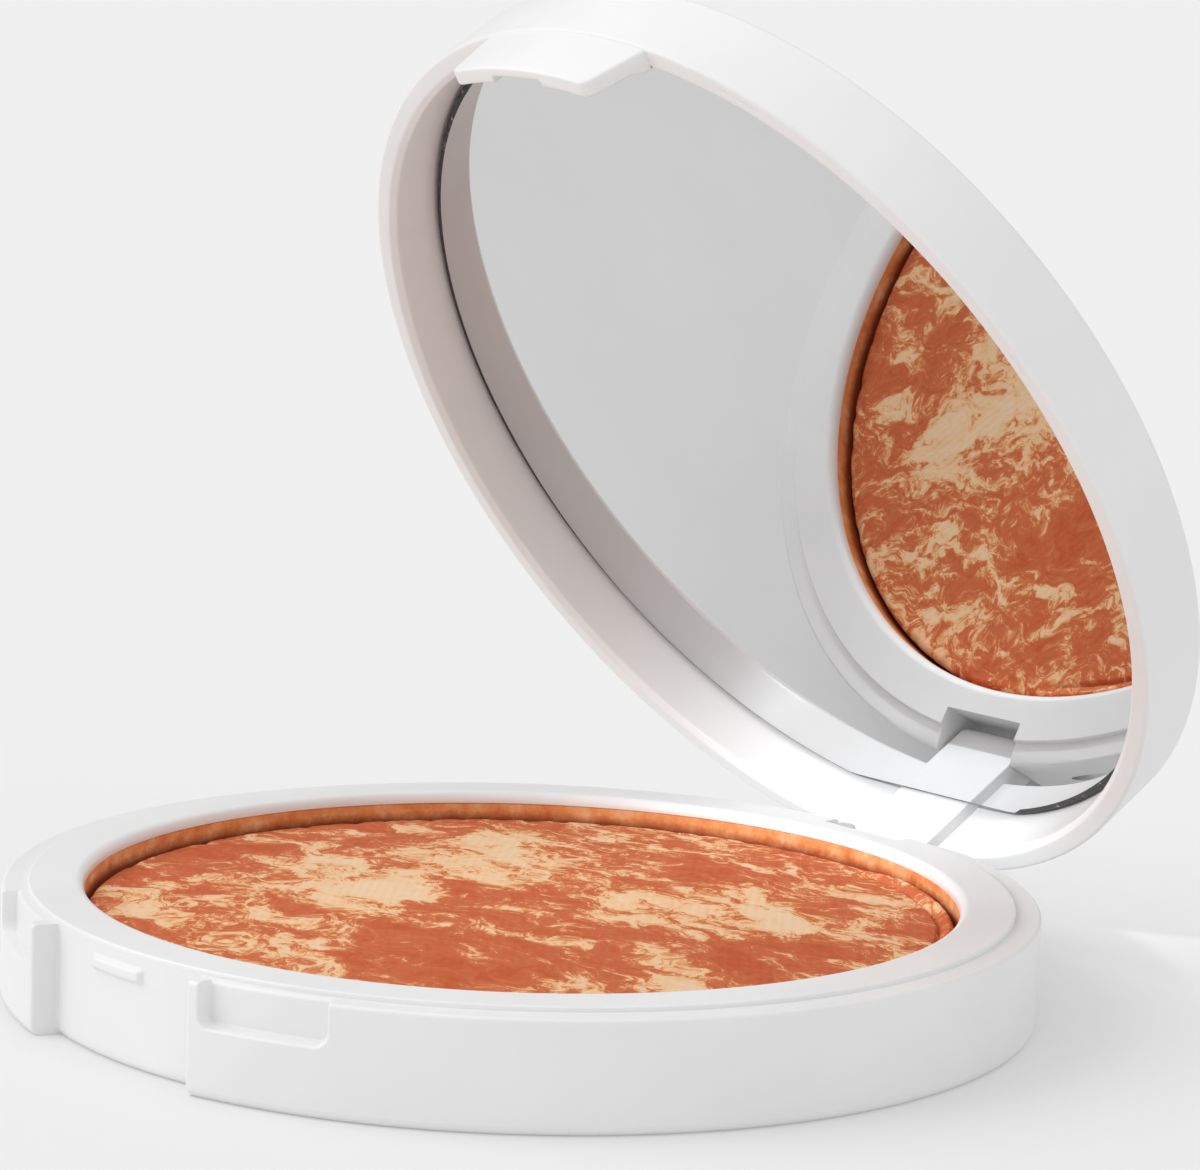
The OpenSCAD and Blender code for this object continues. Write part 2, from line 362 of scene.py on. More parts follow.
def make_bezel():
    """The raised ring round the powder, with a lip over the pan and a skirt inside the base."""
    angles = np.arange(-180, 180, 1.5)
    lip_r = 35.2 * mm
    skirt_r = cavity_r - 0.05 * mm
    skirt_in_r = skirt_r - 0.9 * mm
    inner = 0.75 * mm
    outer = 0.16 * mm
    rows = [(lip_r, bezel_lip_z), (well_r + 0.1 * mm, bezel_lip_z), (well_r, bezel_lip_z + 0.06 * mm)]
    rows += [(well_r + inner * (1 - c), bezel_top - inner * (1 - s)) for s, c in arc(10)]
    rows += [(r * mm, bezel_top) for r in (35.2, 36.2, 37.2)]
    rows += [(bezel_r - outer * (1 - s), bezel_top - outer * (1 - c)) for s, c in arc(5)]
    # the skirt stops at the block that carries the hinge pin
    skirt_low = np.where(np.abs(np.abs(angles) - 180) < 16, base_h - 0.02 * mm, 3 * mm)
    rows += [(bezel_r, base_h), (skirt_r, base_h), (skirt_r, skirt_low), (skirt_in_r, skirt_low)]
    rows += [(skirt_in_r, base_h), (lip_r, base_h)]
    bezel = lathe("powder_frame_ring", angles, rows, round_rows=True)
    combine(bezel, notch_tool(), "DIFFERENCE")
    soften(bezel)
    return bezel


def make_pan():
    """The cup: a thin wall with a small rim, and a fillet where the wall meets the floor."""
    angles = np.arange(-180, 180, 2)
    fillet = 0.6 * mm
    rim = 0.12 * mm
    rows = [(0, pan_low.z), (20 * mm, pan_low.z)]
    rows += [(pan_r - 0.4 * mm * (1 - s), pan_low.z + 0.4 * mm * (1 - c)) for s, c in arc(5)]
    rows += [(pan_r, pan_high.z), (pan_in_r + rim, pan_high.z), (pan_in_r, pan_high.z - rim)]
    rows += [(pan_in_r, z * mm) for z in (7.2, 6.6, 5.8, 5, 4.2)]
    rows += [(pan_in_r - fillet * (1 - c), cake_low.z + fillet * (1 - s)) for s, c in arc(6)]
    rows += [(20 * mm, cake_low.z), (0, cake_low.z)]
    pan = lathe("powder_cup", angles, rows)
    soften(pan)
    return pan


# ---------------------------------------------------------------- powder

def cake_height(r, crown=1.2 * mm, shoulder=0.8 * mm, swell=0.25 * mm):
    """Height of the pressed dome, slightly swollen by baking, and its rounded shoulder."""
    dome = (cake_r**2 + crown**2) / (2 * crown)
    turn_r = cake_r - shoulder
    top_z = cake_top + swell
    turn_z = top_z - dome + math.sqrt(dome**2 - turn_r**2)
    if r <= turn_r:
        return top_z - dome + math.sqrt(dome**2 - r * r)
    out = min(r - turn_r, shoulder)
    return turn_z - shoulder + math.sqrt(shoulder**2 - out**2)


def noise_at(x, y, size, layer):
    """Smooth noise in features of about a given size; a layer is one slice of it."""
    return noise.fractal(Vector((x / size, y / size, layer)), 1.0, 2.0, 4)


def make_cake():
    """The powder: a dense grid over its dome, then straight down the side and across the bottom."""
    angles = np.arange(-180, 180, 0.6)
    radii = list(np.arange(0, 29, 0.35) * mm) + list(np.arange(29, 33.69, 0.12) * mm)
    radii += [cake_r - x * mm for x in (0.012, 0)]
    bottom_z = cake_low.z + 0.02 * mm
    shoulder_z = 4.6 * mm
    grid = np.zeros((len(angles), len(radii) + 3, 3))
    for i, angle in enumerate(angles):
        a = math.radians(angle)
        for k, r in enumerate(radii):
            x, y = r * math.sin(a), -r * math.cos(a)
            z = cake_height(r) + powder_relief(x, y, r, angle)
            grid[i, k] = (x, y, z)
        side = np.array([cake_r * math.sin(a), -cake_r * math.cos(a), 0])
        grid[i, -3] = side + (0, 0, shoulder_z)
        grid[i, -2] = side + (0, 0, bottom_z)
        grid[i, -1] = (0, 0, bottom_z)
    cake = grid_object("marbled_powder", grid)
    cake.data.shade_smooth()
    return cake


def powder_relief(x, y, r, angle):
    """Small rises and dips of the baked surface, deeper crumbling at its edge, in metres."""
    fine = noise_at(x, y, 1.1 * mm, 3.0) * 0.018 * mm
    broad = noise_at(x, y, 9 * mm, 7.0) * 0.05 * mm
    rim = max(0.0, (r - (cake_r - 2.2 * mm)) / (2.2 * mm))
    crumbs = noise.noise(Vector((x / (1.5 * mm), y / (1.5 * mm), 11.0)))
    chips = min(0.0, crumbs + 0.05) * 0.4 * mm * rim
    return fine + broad * (1 - rim) + chips + far_lip(x, y, r, angle)


def far_lip(x, y, r, angle):
    """The crumbly lip that lies against the wall at the far right, parted by a crack."""
    share = max(0.0, min(1.0, (angle - 112) / 22)) * max(0.0, min(1.0, (176 - angle) / 14))
    if share == 0:
        return 0.0
    share = share * share * (3 - 2 * share)
    wander = noise.noise(Vector((x / (5 * mm), y / (5 * mm), 19.0))) * 0.3 * mm
    wander += noise.noise(Vector((x / (1.3 * mm), y / (1.3 * mm), 23.0))) * 0.07 * mm
    crack_r = cake_r - 1.35 * mm + wander
    crack = math.exp(-(((r - crack_r) / (0.16 * mm)) ** 2))
    lip = math.exp(-(((r - crack_r - 0.85 * mm) / (0.5 * mm)) ** 2))
    return share * (0.5 * mm * lip - 0.45 * mm * crack)


# ---------------------------------------------------------------- lid

def rim_mark(r, angle):
    """Depth of the fine curved marks in the lid's rim."""
    across = np.maximum(1 - (abs(r - rim_mark_r) / (0.1 * mm)) ** 2, 0)
    first = np.clip(np.minimum(angle - 23.7, 29.3 - angle) / 0.6, 0, 1)
    second = np.clip(np.minimum(angle - 66.8, 70.2 - angle) / 0.6, 0, 1)
    return 0.15 * mm * across * (first + second)


def make_lid():
    """The lid as it lies closed, from its inside to its outside, then swung open."""
    angles = spread(np.arange(-180, 180, 1.5), np.arange(23, 30, 0.4), np.arange(66, 71, 0.4), gap=0.05)
    top_z = rim_z + lid_h
    rows = [(0, lid_floor_z)]
    rows += [(r * mm, lid_floor_z) for r in (10, 20, 30, 36, 38)]
    rows += [(lid_in_r - 0.3 * mm * (1 - s), lid_floor_z - 0.3 * mm * (1 - c)) for s, c in arc(4)]
    rows += [(lid_in_r, rim_z + z * mm) for z in (5, 4, 3, 2, 1, 0.62)]
    chamfer = [(0.02, 0.5), (0.08, 0.4), (0.38, 0.09), (0.45, 0.025), (0.54, 0)]
    rows += [(lid_in_r + out * mm, rim_z + up * mm) for out, up in chamfer]
    rows += [(39.2 * mm, rim_z)]
    marked = rim_mark_r + np.array([-0.12, -0.09, -0.05, 0, 0.05, 0.09, 0.12]) * mm
    rows += [(r, rim_z + rim_mark(r, angles)) for r in marked]
    rows += [(39.8 * mm, rim_z)]
    rows += [(lid_r - rim_round * (1 - s), rim_z + rim_round * (1 - c)) for s, c in arc(6)]
    rows += [(lid_r, rim_z + z * mm) for z in (1, 2.2, 3.6, 5)]
    rows += [(lid_r - back_round * (1 - c), top_z - back_round * (1 - s)) for s, c in arc(10)]
    flat_r = lid_r - back_round
    rings = 16
    for i in range(1, rings + 1):
        share = 1 - i / rings
        rows.append((flat_r * share, top_z + lid_crown * (1 - share**2)))
    lid = lathe("lid_moulding", angles, rows)
    combine(lid, make_tab(), "UNION")
    combine(lid, make_lug(), "UNION")
    combine(lid, rod_tool(pin_r + 0.05 * mm, -lug_half - mm, lug_half + mm), "DIFFERENCE")
    swing_open(lid)
    soften(lid)
    return lid


def tab_edge(x):
    """Height of the latch tab's edge at x, and the direction that points out of it."""
    lean = math.atan((tab_root_half - tab_tip_half) / tab_l)
    corner = 1 * mm
    round_x = tab_tip_half + corner * math.tan(lean) - corner / math.cos(lean)
    tip_z = rim_z - tab_l
    side = math.copysign(1, x)
    out = abs(x) - round_x
    if out <= 0:
        return tip_z, 0.0, -1.0
    if out < corner * math.cos(lean):
        down = math.sqrt(corner**2 - out**2)
        return tip_z + corner - down, side * out / corner, -down / corner
    turn_x = round_x + corner * math.cos(lean)
    turn_z = tip_z + corner - corner * math.sin(lean)
    z = turn_z + (abs(x) - turn_x) * (rim_z - turn_z) / (tab_root_half - turn_x)
    return z, side * math.cos(lean), -math.sin(lean)


def tab_inside(x, z):
    """Radius of the latch tab's inner face: thicker at its root, thinner in the middle."""
    t = min(1.0, max(0.0, (rim_z - 0.5 * mm - z) / (1.1 * mm)))
    r = lid_in_r + 0.02 * mm + (tab_in_r - lid_in_r - 0.02 * mm) * t
    across = min(1.0, max(0.0, (2.9 * mm - abs(x)) / (0.14 * mm)))
    along = min(1.0, max(0.0, (rim_z - 0.6 * mm - z) / (0.16 * mm)))
    return r + max(0.0, tab_thin_r - r) * across * along


def make_tab():
    """The latch tab, from inside the lid's front wall down to its tip."""
    thin = (2.74, 2.78, 2.82, 2.86, 2.9, 2.95)
    root = [tab_root_half / mm]
    half = spread(np.arange(0, 6.5, 0.5), thin, np.arange(6.6, 9.0, 0.09), root, gap=0.02)
    across = np.concatenate([-half[:0:-1], half]) * mm
    top_z = rim_z + 0.7 * mm
    round_out = 0.2 * mm
    round_in = 0.3 * mm
    grid = []
    for x in across:
        edge_z, nx, nz = tab_edge(x)
        column = []
        in_z = edge_z - nz * round_in
        for t in np.linspace(1, 0, 26)[:-1]:
            z = in_z + (top_z - in_z) * t
            column.append((x - nx * round_in, tab_inside(x, z), z))
        in_r = tab_inside(x, in_z)
        for s, c in arc(4):
            back = round_in * (1 - s)
            column.append((x - nx * back, in_r + round_in * (1 - c), edge_z - nz * back))
        for s, c in arc(4):
            back = round_out * (1 - c)
            column.append((x - nx * back, tab_out_r - round_out * (1 - s), edge_z - nz * back))
        out_z = edge_z - nz * round_out
        for t in np.linspace(0, 1, 8)[1:]:
            column.append((x - nx * round_out, tab_out_r, out_z + (top_z - out_z) * t))
        grid.append([(px, -math.sqrt(r * r - px * px), z) for px, r, z in column])
    columns = np.array(grid)
    tab = grid_object("tab", columns, round_columns=False, round_rows=True)
    close_ends(tab)
    return tab


def close_ends(piece):
    """Caps the two open ends of the tab."""
    bm = bmesh.new()
    bm.from_mesh(piece.data)
    bmesh.ops.holes_fill(bm, edges=bm.edges, sides=0)
    bmesh.ops.recalc_face_normals(bm, faces=bm.faces)
    bm.to_mesh(piece.data)
    bm.free()


def make_lug():
    """The arm from the lid's floor down to the pin, with its knuckle and softened edges."""
    root_z = lid_floor_z + 0.2 * mm
    back_y = pin_y + knuckle_r - 0.1 * mm
    wall_y = lid_in_r + 0.5 * mm
    side = [(pin_y - knuckle_r, root_z)]
    steps = 24
    for i in range(steps + 1):
        turn = math.pi * (1 + i / steps)
        side.append((pin_y + knuckle_r * math.cos(turn), pin_z + knuckle_r * math.sin(turn)))
    side += [(back_y, pin_z + 0.6 * mm), (back_y, rim_z + rim_chamfer)]
    side += [(wall_y, rim_z + 1.2 * mm), (wall_y, root_z)]
    bm = bmesh.new()
    first = [bm.verts.new((-lug_half, y, z)) for y, z in side]
    second = [bm.verts.new((lug_half, y, z)) for y, z in side]
    count = len(side)
    bm.faces.new(first)
    bm.faces.new(second[::-1])
    for i in range(count):
        j = (i + 1) % count
        bm.faces.new((first[i], first[j], second[j], second[i]))
    bmesh.ops.recalc_face_normals(bm, faces=bm.faces)
    ends = [e for e in bm.edges if abs(e.verts[0].co.x - e.verts[1].co.x) < 1e-9]
    bmesh.ops.bevel(bm, geom=ends, offset=0.17 * mm, segments=3, affect="EDGES", profile=0.5)
    mesh = bpy.data.meshes.new("lug")
    bm.to_mesh(mesh)
    bm.free()
    lug = bpy.data.objects.new("lug", mesh)
    bpy.context.scene.collection.objects.link(lug)
    return lug


def shaded_border_width(x, y):
    """Width of the dark border without silver, which also stands as a painted shadow of the gap to the lid
    wall: it thins out towards the straight cut on the left.
    """
    if y > mirror_flat_y - 0.1 * mm:
        return 0.04 * mm
    if x > 0:
        return 0.34 * mm
    share = min(1.0, max(0.0, (22 * mm - y) / (16 * mm)))
    return 0.06 * mm + 0.32 * mm * share


def make_mirror():
    """Round glass cut straight on the hinge side, with a ground edge and a narrow unsilvered border that
    carries painted shade.
    """
    grind = 0.16 * mm
    steps = 240
    outline = []
    for i in range(steps):
        turn = 2 * math.pi * i / steps
        x, y = mirror_r * math.cos(turn), mirror_r * math.sin(turn)
        outline.append((x, min(y, mirror_flat_y)))
    outline = np.array(outline)
    inner = outline * (1 - grind / mirror_r)
    border = np.array([shaded_border_width(x, y) for x, y in outline])
    # painted shade: a dark unsilvered band, widened to stand for the shadow in the gap to the lid wall
    unsilvered_shade_band = outline * (1 - (grind + border[:, None]) / mirror_r)
    levels = [(unsilvered_shade_band, 0), (inner, 0), (outline, grind), (outline, mirror_t - grind), (inner, mirror_t)]
    points = [(x, y, mirror_z + z) for ring, z in levels for x, y in ring]
    faces = []
    for k in range(4):
        for i in range(steps):
            j = (i + 1) % steps
            faces.append((k * steps + i, k * steps + j, (k + 1) * steps + j, (k + 1) * steps + i))
    faces += [tuple(range(steps)), tuple(range(4 * steps, 5 * steps))]
    glass = mesh_object("looking_glass", points, faces)
    swing_open(glass)
    return glass


def darken_edge(glass):
    """The unsilvered border and cut edge of the glass get their own dark material, backing paint that also
    stands as painted shade.
    """
    glass.data.materials.append(edge_paint_and_shade_material())
    # the front and back are single faces with many corners, and all the rest have four
    for face in glass.data.polygons:
        if len(face.vertices) == 4:
            face.material_index = 1


# ---------------------------------------------------------------- materials

def colour(red, green, blue):
    """Linear colour from display values from 0 to 255."""
    def linear(value):
        value = value / 255
        return value / 12.92 if value <= 0.04045 else ((value + 0.055) / 1.055) ** 2.4

    return (linear(red), linear(green), linear(blue), 1)


class Recipe:
    """A node material that is built up step by step."""

    def __init__(self, name):
        self.material = bpy.data.materials.new(name)
        self.material.use_nodes = True
        self.tree = self.material.node_tree
        self.shader = self.tree.nodes["Principled BSDF"]

    def add(self, kind, **values):
        made = self.tree.nodes.new(kind)
        for key, value in values.items():
            setattr(made, key, value)
        return made

    def link(self, start, end):
        self.tree.links.new(start, end)

    def place(self, scale=(1000, 1000, 1000), turn=0):
        """Coordinates in millimetres, fixed to the piece."""
        source = self.add("ShaderNodeTexCoord")
        mapping = self.add("ShaderNodeMapping")
        mapping.inputs["Scale"].default_value = scale
        mapping.inputs["Rotation"].default_value = (0, 0, turn)
        self.link(source.outputs["Object"], mapping.inputs["Vector"])
        return mapping.outputs["Vector"]

    def noise(self, vector, scale, detail=2, rough=0.5, warp=0):
        made = self.add("ShaderNodeTexNoise")
        made.inputs["Scale"].default_value = scale
        made.inputs["Detail"].default_value = detail
        made.inputs["Roughness"].default_value = rough
        made.inputs["Distortion"].default_value = warp
        self.link(vector, made.inputs["Vector"])
        return made

    def math(self, how, first, second=None, third=None):
        made = self.add("ShaderNodeMath", operation=how)
        for socket, value in zip(made.inputs, (first, second, third)):
            if value is None:
                continue
            if isinstance(value, (int, float)):
                socket.default_value = value
            else:
                self.link(value, socket)
        return made.outputs[0]

    def vector_math(self, how, first, second=None):
        made = self.add("ShaderNodeVectorMath", operation=how)
        for socket, value in zip(made.inputs, (first, second)):
            if value is None:
                continue
            if isinstance(value, tuple):
                socket.default_value = value
            else:
                self.link(value, socket)
        return made

    def ramp(self, value, stops):
        made = self.add("ShaderNodeValToRGB")
        while len(made.color_ramp.elements) < len(stops):
            made.color_ramp.elements.new(0.5)
        for element, (at, shade) in zip(made.color_ramp.elements, stops):
            element.position = at
            element.color = shade
        self.link(value, made.inputs["Fac"])
        return made.outputs["Color"]

    def span(self, value, low, high, to_low, to_high):
        made = self.add("ShaderNodeMapRange")
        made.inputs["From Min"].default_value = low
        made.inputs["From Max"].default_value = high
        made.inputs["To Min"].default_value = to_low
        made.inputs["To Max"].default_value = to_high
        self.link(value, made.inputs["Value"])
        return made.outputs["Result"]

    def bump(self, height, distance, strength=1.0, below=None):
        made = self.add("ShaderNodeBump")
        made.inputs["Distance"].default_value = distance
        made.inputs["Strength"].default_value = strength
        self.link(height, made.inputs["Height"])
        if below is not None:
            self.link(below, made.inputs["Normal"])
        self.link(made.outputs["Normal"], self.shader.inputs["Normal"])
        return made.outputs["Normal"]

    def set(self, **values):
        for key, value in values.items():
            self.shader.inputs[key.replace("_", " ")].default_value = value


def white_plastic(name, shade=(240, 240, 240), rough=0.31):
    """Glossy moulded plastic: faint tone changes, a slight skin texture and uneven gloss."""
    made = Recipe(name)
    where = made.place()
    tone = made.noise(where, 0.05, 3)
    light = colour(*shade)
    dark = colour(*[v - 5 for v in shade])
    made.link(made.ramp(tone.outputs["Fac"], [(0.35, dark), (0.65, light)]), made.shader.inputs["Base Color"])
    gloss = made.noise(where, 0.4, 4, 0.6)
    uneven = made.span(gloss.outputs["Fac"], 0.3, 0.7, rough - 0.02, rough + 0.04)
    made.link(uneven, made.shader.inputs["Roughness"])
    skin = made.noise(where, 0.7, 1)
    made.bump(skin.outputs["Fac"], 0.003 * mm, 0.6)
    made.set(IOR=1.49, Specular_IOR_Level=0.5)
    return made.material


def patch(made, where, x, y, length, width, turn):
    """A soft oval region of the marbling: 1 in its middle and 0 outside."""
    local = made.add("ShaderNodeMapping", vector_type="TEXTURE")
    local.inputs["Location"].default_value = (x, y, 0)
    local.inputs["Rotation"].default_value = (0, 0, math.radians(turn))
    local.inputs["Scale"].default_value = (length, width, 1000)
    made.link(where, local.inputs["Vector"])
    away = made.vector_math("LENGTH", local.outputs["Vector"]).outputs["Value"]
    return made.span(away, 1.35, 0.6, 0, 1)


def strongest(made, patches):
    """The highest of several patches at each place."""
    found = patches[0]
    for one in patches[1:]:
        found = made.math("MAXIMUM", found, one)
    return found


def pushed_about(made, where, scale, amount):
    """The same coordinates, pushed about by soft noise."""
    sway = made.noise(where, scale, 2)
    drift = made.vector_math("SUBTRACT", sway.outputs["Color"], (0.5, 0.5, 0.5)).outputs[0]
    push = made.vector_math("SCALE", drift)
    push.inputs["Scale"].default_value = amount
    return made.vector_math("ADD", where, push.outputs[0]).outputs[0]


def powder_material():
    """Baked powder marbled in terracotta and cream, matt, with a fine pressed weave."""
    made = Recipe("marbled_powder")
    where = made.place()
    near = pushed_about(made, pushed_about(made, where, 0.16, 7), 0.7, 1.6)
    creams = [
        patch(made, near, -14, 9, 12, 6.5, -40),
        patch(made, near, -7, -8, 11, 3.4, -62),
        patch(made, near, 3, -21, 7, 1.8, -50),
        patch(made, near, -16, -7, 6, 4, -20),
        patch(made, near, 13, 13, 9, 2, -24),
        patch(made, near, 24, -5.5, 6, 1.8, -30),
    ]
    clays = [
        patch(made, near, 9, -14, 11, 7.5, -20),
        patch(made, near, -5, -2, 3.8, 3.6, 0),
        patch(made, near, -22, 3, 5, 3.4, -60),
        patch(made, near, -4, 21, 6, 3.4, 50),
        patch(made, near, 25, 6, 8, 4, -70),
        patch(made, near, -27, -12, 10, 3.4, -62),
    ]
    regions = made.math("SUBTRACT", strongest(made, creams), strongest(made, clays))
    along = made.add("ShaderNodeMapping")
    along.inputs["Rotation"].default_value = (0, 0, math.radians(32))
    along.inputs["Scale"].default_value = (0.55, 1.1, 1)
    made.link(near, along.inputs["Vector"])
    veins = made.noise(along.outputs["Vector"], 0.2, 9, 0.63, 0.4)
    wisps = made.noise(along.outputs["Vector"], 0.95, 6, 0.66, 0.8)
    flecks = made.noise(along.outputs["Vector"], 4.2, 3, 0.6, 0.4)
    field = made.math("MULTIPLY_ADD", wisps.outputs["Fac"], 0.56, veins.outputs["Fac"])
    field = made.math("MULTIPLY_ADD", flecks.outputs["Fac"], 0.2, field)
    field = made.math("MULTIPLY_ADD", regions, 0.092, field)
    field = made.math("SUBTRACT", field, 0.1)
    rust = colour(196, 92, 54)
    clay = colour(206, 112, 74)
    amber = colour(224, 148, 94)
    cream = colour(240, 194, 148)
    pale = colour(240, 206, 170)
    stops = [(0.55, rust), (0.75, clay), (0.79, amber), (0.835, cream), (0.97, pale)]
    made.link(made.ramp(field, stops), made.shader.inputs["Base Color"])
    weave = made.add("ShaderNodeTexWave", wave_type="BANDS", bands_direction="DIAGONAL")
    weave.inputs["Scale"].default_value = 0.62
    weave.inputs["Distortion"].default_value = 0.5
    made.link(where, weave.inputs["Vector"])
    grain = made.noise(where, 5, 4, 0.7)
    pressed = made.bump(weave.outputs["Fac"], 0.016 * mm, 0.8)
    made.bump(grain.outputs["Fac"], 0.05 * mm, 0.7, pressed)
    made.set(Roughness=0.9, Specular_IOR_Level=0.12)
    return made.material


def pan_material():
    """Orange cup, dusted with powder, and darkened low down next to the cake by painted shade mixed with
    powder stain.
    """
    made = Recipe("dusted_cup")
    where = made.place()
    dust = made.noise(where, 0.5, 6, 0.7)
    shades = [(0.3, colour(222, 122, 62)), (0.5, colour(236, 156, 96)), (0.72, colour(244, 196, 150))]
    height = made.add("ShaderNodeSeparateXYZ")
    made.link(where, height.inputs["Vector"])
    # painted shade mixed with powder stain: the wall turns dark rust towards the cake
    stain_and_shade_level = made.math("MULTIPLY_ADD", dust.outputs["Fac"], 0.9, height.outputs["Z"])
    above_stain_and_shade = made.span(stain_and_shade_level, pan_high.z / mm - 0.95, pan_high.z / mm - 0.15, 0, 1)
    mix = made.add("ShaderNodeMix", data_type="RGBA")
    mix.inputs["A"].default_value = colour(150, 68, 32)
    made.link(above_stain_and_shade, mix.inputs["Factor"])
    made.link(made.ramp(dust.outputs["Fac"], shades), mix.inputs["B"])
    made.link(mix.outputs["Result"], made.shader.inputs["Base Color"])
    made.link(made.span(dust.outputs["Fac"], 0.3, 0.7, 0.4, 0.7), made.shader.inputs["Roughness"])
    grain = made.noise(where, 5, 3)
    made.bump(grain.outputs["Fac"], 0.02 * mm, 0.6)
    return made.material


def mirror_material():
    """Silvered glass, with a slight haze of powder."""
    made = Recipe("silvered_glass")
    where = made.place()
    haze = made.noise(where, 0.06, 4, 0.6)
    tones = [(0.3, (0.68, 0.682, 0.684, 1)), (0.7, (0.71, 0.711, 0.713, 1))]
    made.link(made.ramp(haze.outputs["Fac"], tones), made.shader.inputs["Base Color"])
    specks = made.noise(where, 1.6, 2)
    made.link(made.span(specks.outputs["Fac"], 0.74, 0.8, 0.012, 0.2), made.shader.inputs["Roughness"])
    made.set(Metallic=1)
    return made.material


def edge_paint_and_shade_material():
    """Cut edge of the glass: dark backing paint, also a painted shadow of the gap to the lid wall, with pale
    chips.
    """
    made = Recipe("edge_paint_and_shade")
    where = made.place()
    chips = made.noise(where, 0.8, 5, 0.75)
    # painted shade: near-black tones stand for the gap's shadow as well as backing paint
    tones = [(0.3, (0.012, 0.012, 0.013, 1)), (0.6, (0.03, 0.03, 0.032, 1)), (0.66, (0.55, 0.55, 0.55, 1))]
    made.link(made.ramp(chips.outputs["Fac"], tones), made.shader.inputs["Base Color"])
    made.bump(chips.outputs["Fac"], 0.03 * mm, 0.6)
    made.set(Roughness=0.45)
    return made.material


def steel_material():
    """Drawn steel, with fine lines along the pin."""
    made = Recipe("drawn_steel")
    where = made.place((80, 3000, 3000))
    lines = made.noise(where, 1, 3)
    tones = [(0.3, (0.52, 0.52, 0.53, 1)), (0.7, (0.66, 0.66, 0.67, 1))]
    made.link(made.ramp(lines.outputs["Fac"], tones), made.shader.inputs["Base Color"])
    made.link(made.span(lines.outputs["Fac"], 0.3, 0.7, 0.25, 0.4), made.shader.inputs["Roughness"])
    made.bump(lines.outputs["Fac"], 0.003 * mm)
    made.set(Metallic=1)
    return made.material


def label_material():
    """Off-white paper without any print."""
    made = Recipe("blank_label")
    where = made.place()
    fibre = made.noise(where, 1.2, 5, 0.65)
    tones = [(0.35, colour(226, 225, 222)), (0.65, colour(236, 235, 232))]
    made.link(made.ramp(fibre.outputs["Fac"], tones), made.shader.inputs["Base Color"])
    made.bump(fibre.outputs["Fac"], 0.01 * mm, 0.5)
    made.set(Roughness=0.5)
    return made.material


def foam_material():
    """Double-sided foam tape with small cells."""
    made = Recipe("foam_tape")
    where = made.place()
    cells = made.add("ShaderNodeTexVoronoi")
    cells.inputs["Scale"].default_value = 3
    made.link(where, cells.inputs["Vector"])
    tones = [(0.1, colour(206, 202, 190)), (0.6, colour(232, 229, 219))]
    made.link(made.ramp(cells.outputs["Distance"], tones), made.shader.inputs["Base Color"])
    made.bump(cells.outputs["Distance"], 0.05 * mm, 0.6)
    made.set(Roughness=0.9)
    return made.material


def floor_material():
    """A pale table that gives off a little light, so that it stays even right up to the object."""
    made = Recipe("pale_floor")
    made.set(Base_Color=(0.66, 0.66, 0.66, 1), Roughness=1, Specular_IOR_Level=0)
    made.set(Emission_Color=(1, 1, 1, 1), Emission_Strength=0.18)
    return made.material


def coat(piece, material):
    """Gives a piece its material."""
    piece.data.materials.clear()
    piece.data.materials.append(material)


def coat_node(name, material):
    """Gives a CAD node that keeps its own mesh a new material."""
    for held in frame["nodes"][name].material_slots:
        held.material = material


# ---------------------------------------------------------------- assembly

def build_pieces():
    """Every modelled piece with its body, the CAD node it stands for, its material and its slot."""
    plastic = white_plastic("lid_and_base_plastic")
    ring_plastic = white_plastic("frame_ring_plastic", (242, 242, 242))
    made = [
        (make_base(), "base", "base_shell", plastic, "white_plastic"),
        (make_bezel(), "base", "powder_bezel", ring_plastic, "bezel_plastic"),
        (make_pan(), "base", "powder_pan", pan_material(), "pan"),
        (make_cake(), "base", "powder_cake", powder_material(), "powder"),
        (make_lid(), "lid", "lid_shell", plastic, "white_plastic"),
        (make_mirror(), "lid", "mirror", mirror_material(), "mirror"),
    ]
    for piece, body, node, material, slot in made:
        coat(piece, material)
        if node == "mirror":
            darken_edge(piece)
        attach(piece, body)
        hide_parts(node)
    tape = foam_material()
    coat_node("pan_adhesive", tape)
    coat_node("mirror_adhesive", tape)
    coat_node("hinge_pin", steel_material())
    coat_node("underside_label", label_material())


def build_stage():
    """A floor that reaches far past the view."""
    half = 12
    corners = [(-half, -half, 0), (half, -half, 0), (half, half, 0), (-half, half, 0)]
    floor = mesh_object("floor", corners, [(0, 1, 2, 3)])
    floor.data.materials.append(floor_material())


def direction(azimuth, height):
    """Unit vector towards an azimuth, counted from the latch side, and a height above the horizon."""
    level = math.cos(height)
    return Vector((math.sin(azimuth) * level, -math.cos(azimuth) * level, math.sin(height)))


def aim(lamp, azimuth, height, target=(0, 0, 0), distance=0):
    """Puts a lamp at a distance from its target, in a direction given in degrees, facing the target."""
    found = bpy.data.objects.new(lamp.name, lamp)
    back = direction(math.radians(azimuth), math.radians(height))
    found.location = Vector(target) + back * distance
    found.rotation_mode = "QUATERNION"
    found.rotation_quaternion = (-back).to_track_quat("-Z", "Y")
    bpy.context.scene.collection.objects.link(found)


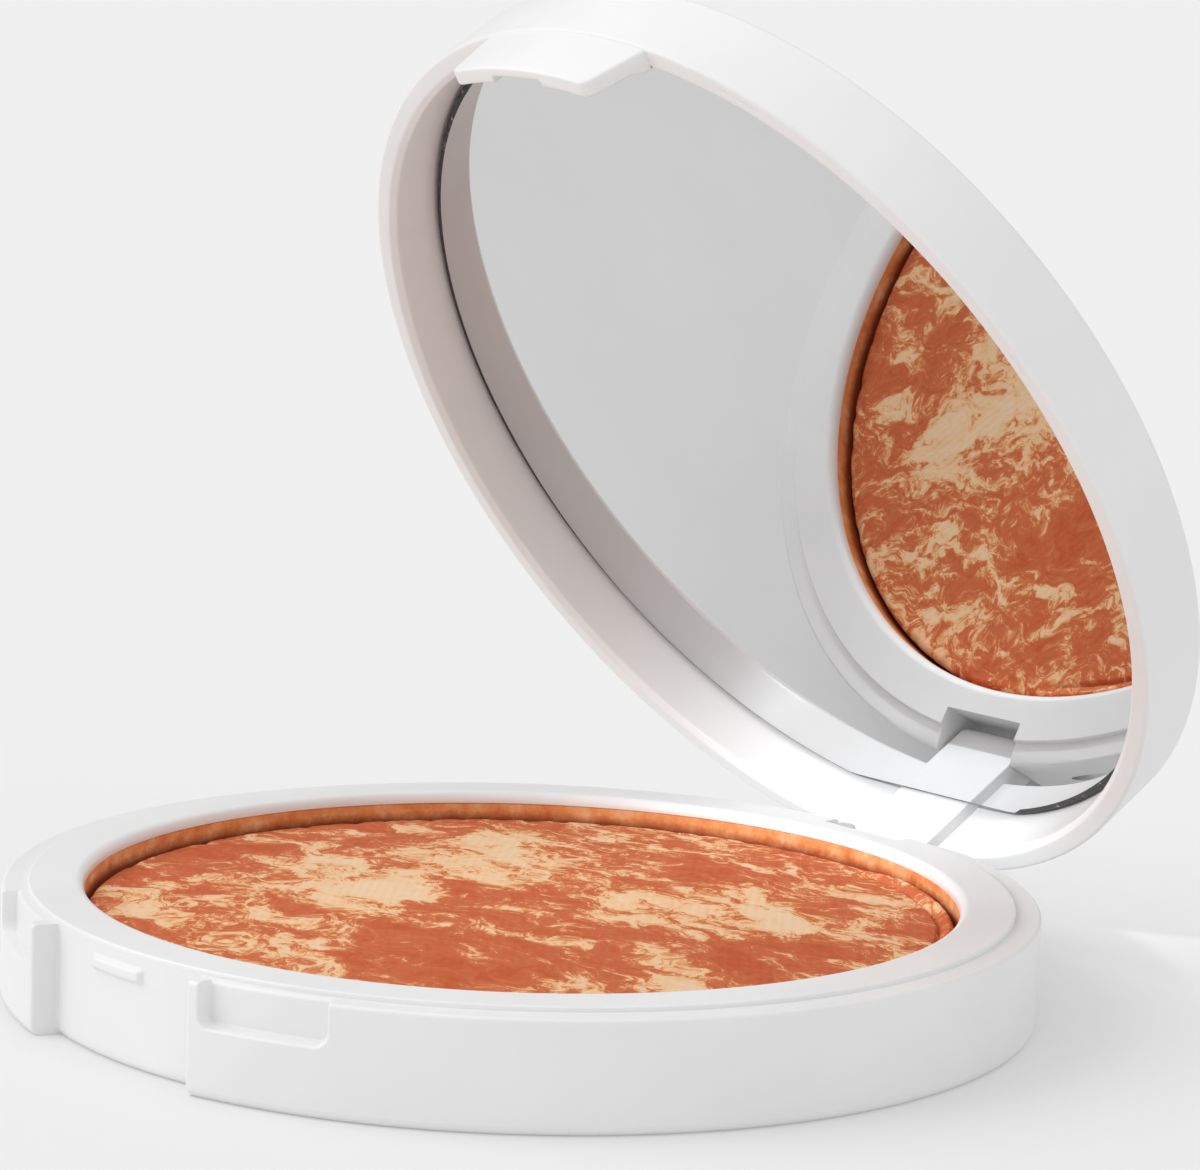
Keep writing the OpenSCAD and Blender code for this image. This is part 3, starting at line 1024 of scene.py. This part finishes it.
def soft_light(name, strength, spread_angle, azimuth, height):
    """Light from far away, from an azimuth counted like the camera's and a height above the horizon."""
    lamp = bpy.data.lights.new(name, "SUN")
    lamp.energy = strength
    lamp.angle = math.radians(spread_angle)
    aim(lamp, azimuth, height)


def narrow_light(name, power, distance, azimuth, height, target, cone):
    """A soft-edged beam on one place, from an azimuth and height counted as for the soft lights."""
    lamp = bpy.data.lights.new(name, "SPOT")
    lamp.energy = power
    lamp.color = (0.93, 0.97, 1)
    lamp.shadow_soft_size = 0.015
    lamp.spot_size = math.radians(cone)
    lamp.spot_blend = 1
    aim(lamp, azimuth, height, target, distance)


def build_light():
    """Even light from all round, three wide soft lights and one narrow beam on the hinge."""
    scene = bpy.context.scene
    world = bpy.data.worlds.new("studio")
    world.use_nodes = True
    sky = world.node_tree.nodes["Background"]
    sky.inputs["Color"].default_value = (1, 1, 1, 1)
    sky.inputs["Strength"].default_value = 0.57
    scene.world = world
    soft_light("overhead_light", 0.7, 80, 229, 75)
    soft_light("left_light", 1.2, 60, -40, 32)
    soft_light("right_light", 0.4, 80, 78, 25)
    narrow_light("hinge_light", 8, 0.5, 4, 24, (0, 27 * mm, 20 * mm), 6.6)
    scene.view_settings.view_transform = "Standard"
    scene.view_settings.look = "None"


def build_camera():
    """The photo's viewpoint, fitted to the outlines of the base, the lid and the mirror."""
    lens = bpy.data.cameras.new("camera")
    lens.sensor_width = 36
    lens.lens = 135.87
    lens.clip_start = 0.01
    lens.clip_end = 100
    found = bpy.data.objects.new("camera", lens)
    azimuth, height, roll = math.radians(48.92), math.radians(9.11), math.radians(2.13)
    back = direction(azimuth, height)
    level = Vector((math.cos(azimuth), math.sin(azimuth), 0))
    upright = back.cross(level)
    right = level * math.cos(roll) + upright * math.sin(roll)
    up = upright * math.cos(roll) - level * math.sin(roll)
    turn = Matrix((right, up, back)).transposed().to_4x4()
    viewpoint = Vector((0.26248, -0.22205, 0.0876))
    found.matrix_world = Matrix.Translation(viewpoint) @ turn
    bpy.context.scene.collection.objects.link(found)
    bpy.context.scene.camera = found


build_pieces()
build_stage()
build_light()
build_camera()
